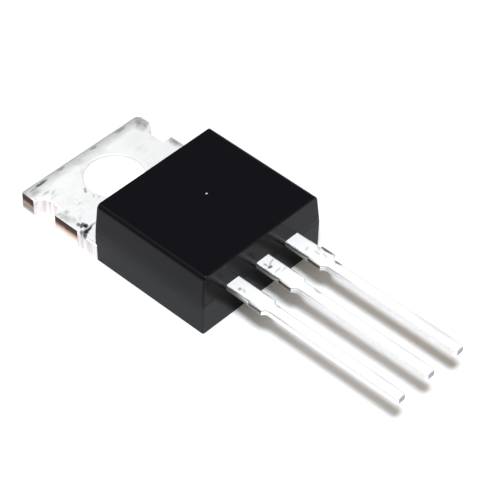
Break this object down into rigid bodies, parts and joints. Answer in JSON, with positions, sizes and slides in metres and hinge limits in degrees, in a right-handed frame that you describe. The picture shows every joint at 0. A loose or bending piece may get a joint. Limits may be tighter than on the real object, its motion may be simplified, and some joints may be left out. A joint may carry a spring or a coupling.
{
  "type": "power transistor",
  "caption": "Power transistor in a flat moulded case on a metal tab with a mounting hole, with a row of flat leads out of the other end.",
  "frame": {"origin": "axis of the mounting hole, in the plane of the bare back face", "axes": "+X across the width, +Y from the hole to the end of the tab with the leads towards -Y, +Z from the back face up to the top of the body"},
  "size_m": [0.0102, 0.0287, 0.0045],
  "materials": {
    "tinned_frame": "tin plate over stamped copper, bright with soft streaks, bare copper on the sheared tie bars",
    "tinned_leads": "tin over stamped copper, bright",
    "soft_solder": "dull soft solder",
    "silicon": "polished silicon",
    "bond_wire": "drawn aluminium wire",
    "epoxy": "black moulded epoxy, half gloss on the walls, finer grain on the top"
  },
  "bodies": {
    "root": {"collector_frame": "tinned_frame", "base_lead": "tinned_leads", "emitter_lead": "tinned_leads", "die_solder": "soft_solder", "silicon_die": "silicon", "base_wire": "bond_wire", "emitter_wire": "bond_wire", "moulded_body": "epoxy"}
  },
  "joints": []
}
